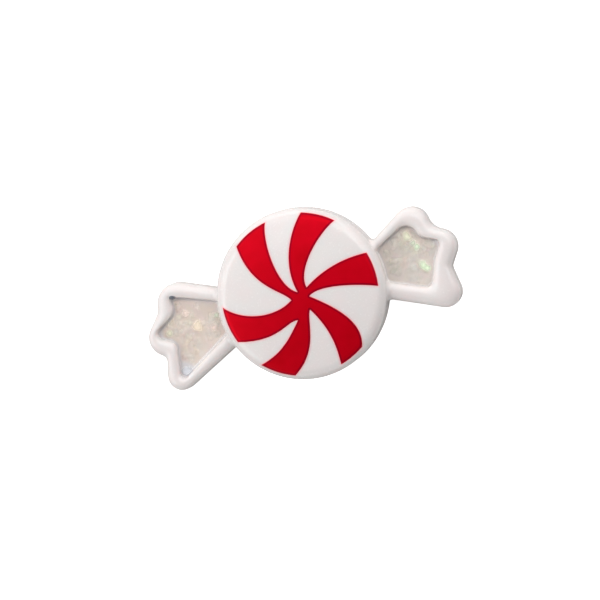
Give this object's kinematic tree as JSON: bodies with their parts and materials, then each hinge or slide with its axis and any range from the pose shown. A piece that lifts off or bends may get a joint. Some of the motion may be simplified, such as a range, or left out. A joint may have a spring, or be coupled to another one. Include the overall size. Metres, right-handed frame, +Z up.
{
  "type": "peppermint candy charm",
  "caption": "Cast resin copy of a twist-wrapped peppermint sweet: domed disc with a red swirl and flared wrapper ends filled with clear glitter resin, flat back.",
  "frame": {"origin": "Middle of the whole piece's outline, on the plane of its flat back.", "axes": "+X along the wrapper, towards the end with the smaller pocket; +Y across the sweet; +Z up out of the domed, painted face."},
  "size_m": [0.038, 0.0198, 0.0052],
  "materials": {
    "white_lacquer": "glossy white cast resin with slightly uneven, soft edges",
    "red_enamel": "glossy deep red enamel",
    "clear_resin": "clear glossy resin with sparse iridescent glitter flakes over a pale grey floor"
  },
  "bodies": {
    "root": {"casting": "white_lacquer", "swirl": "red_enamel", "resin_left": "clear_resin", "resin_right": "clear_resin"}
  },
  "joints": []
}
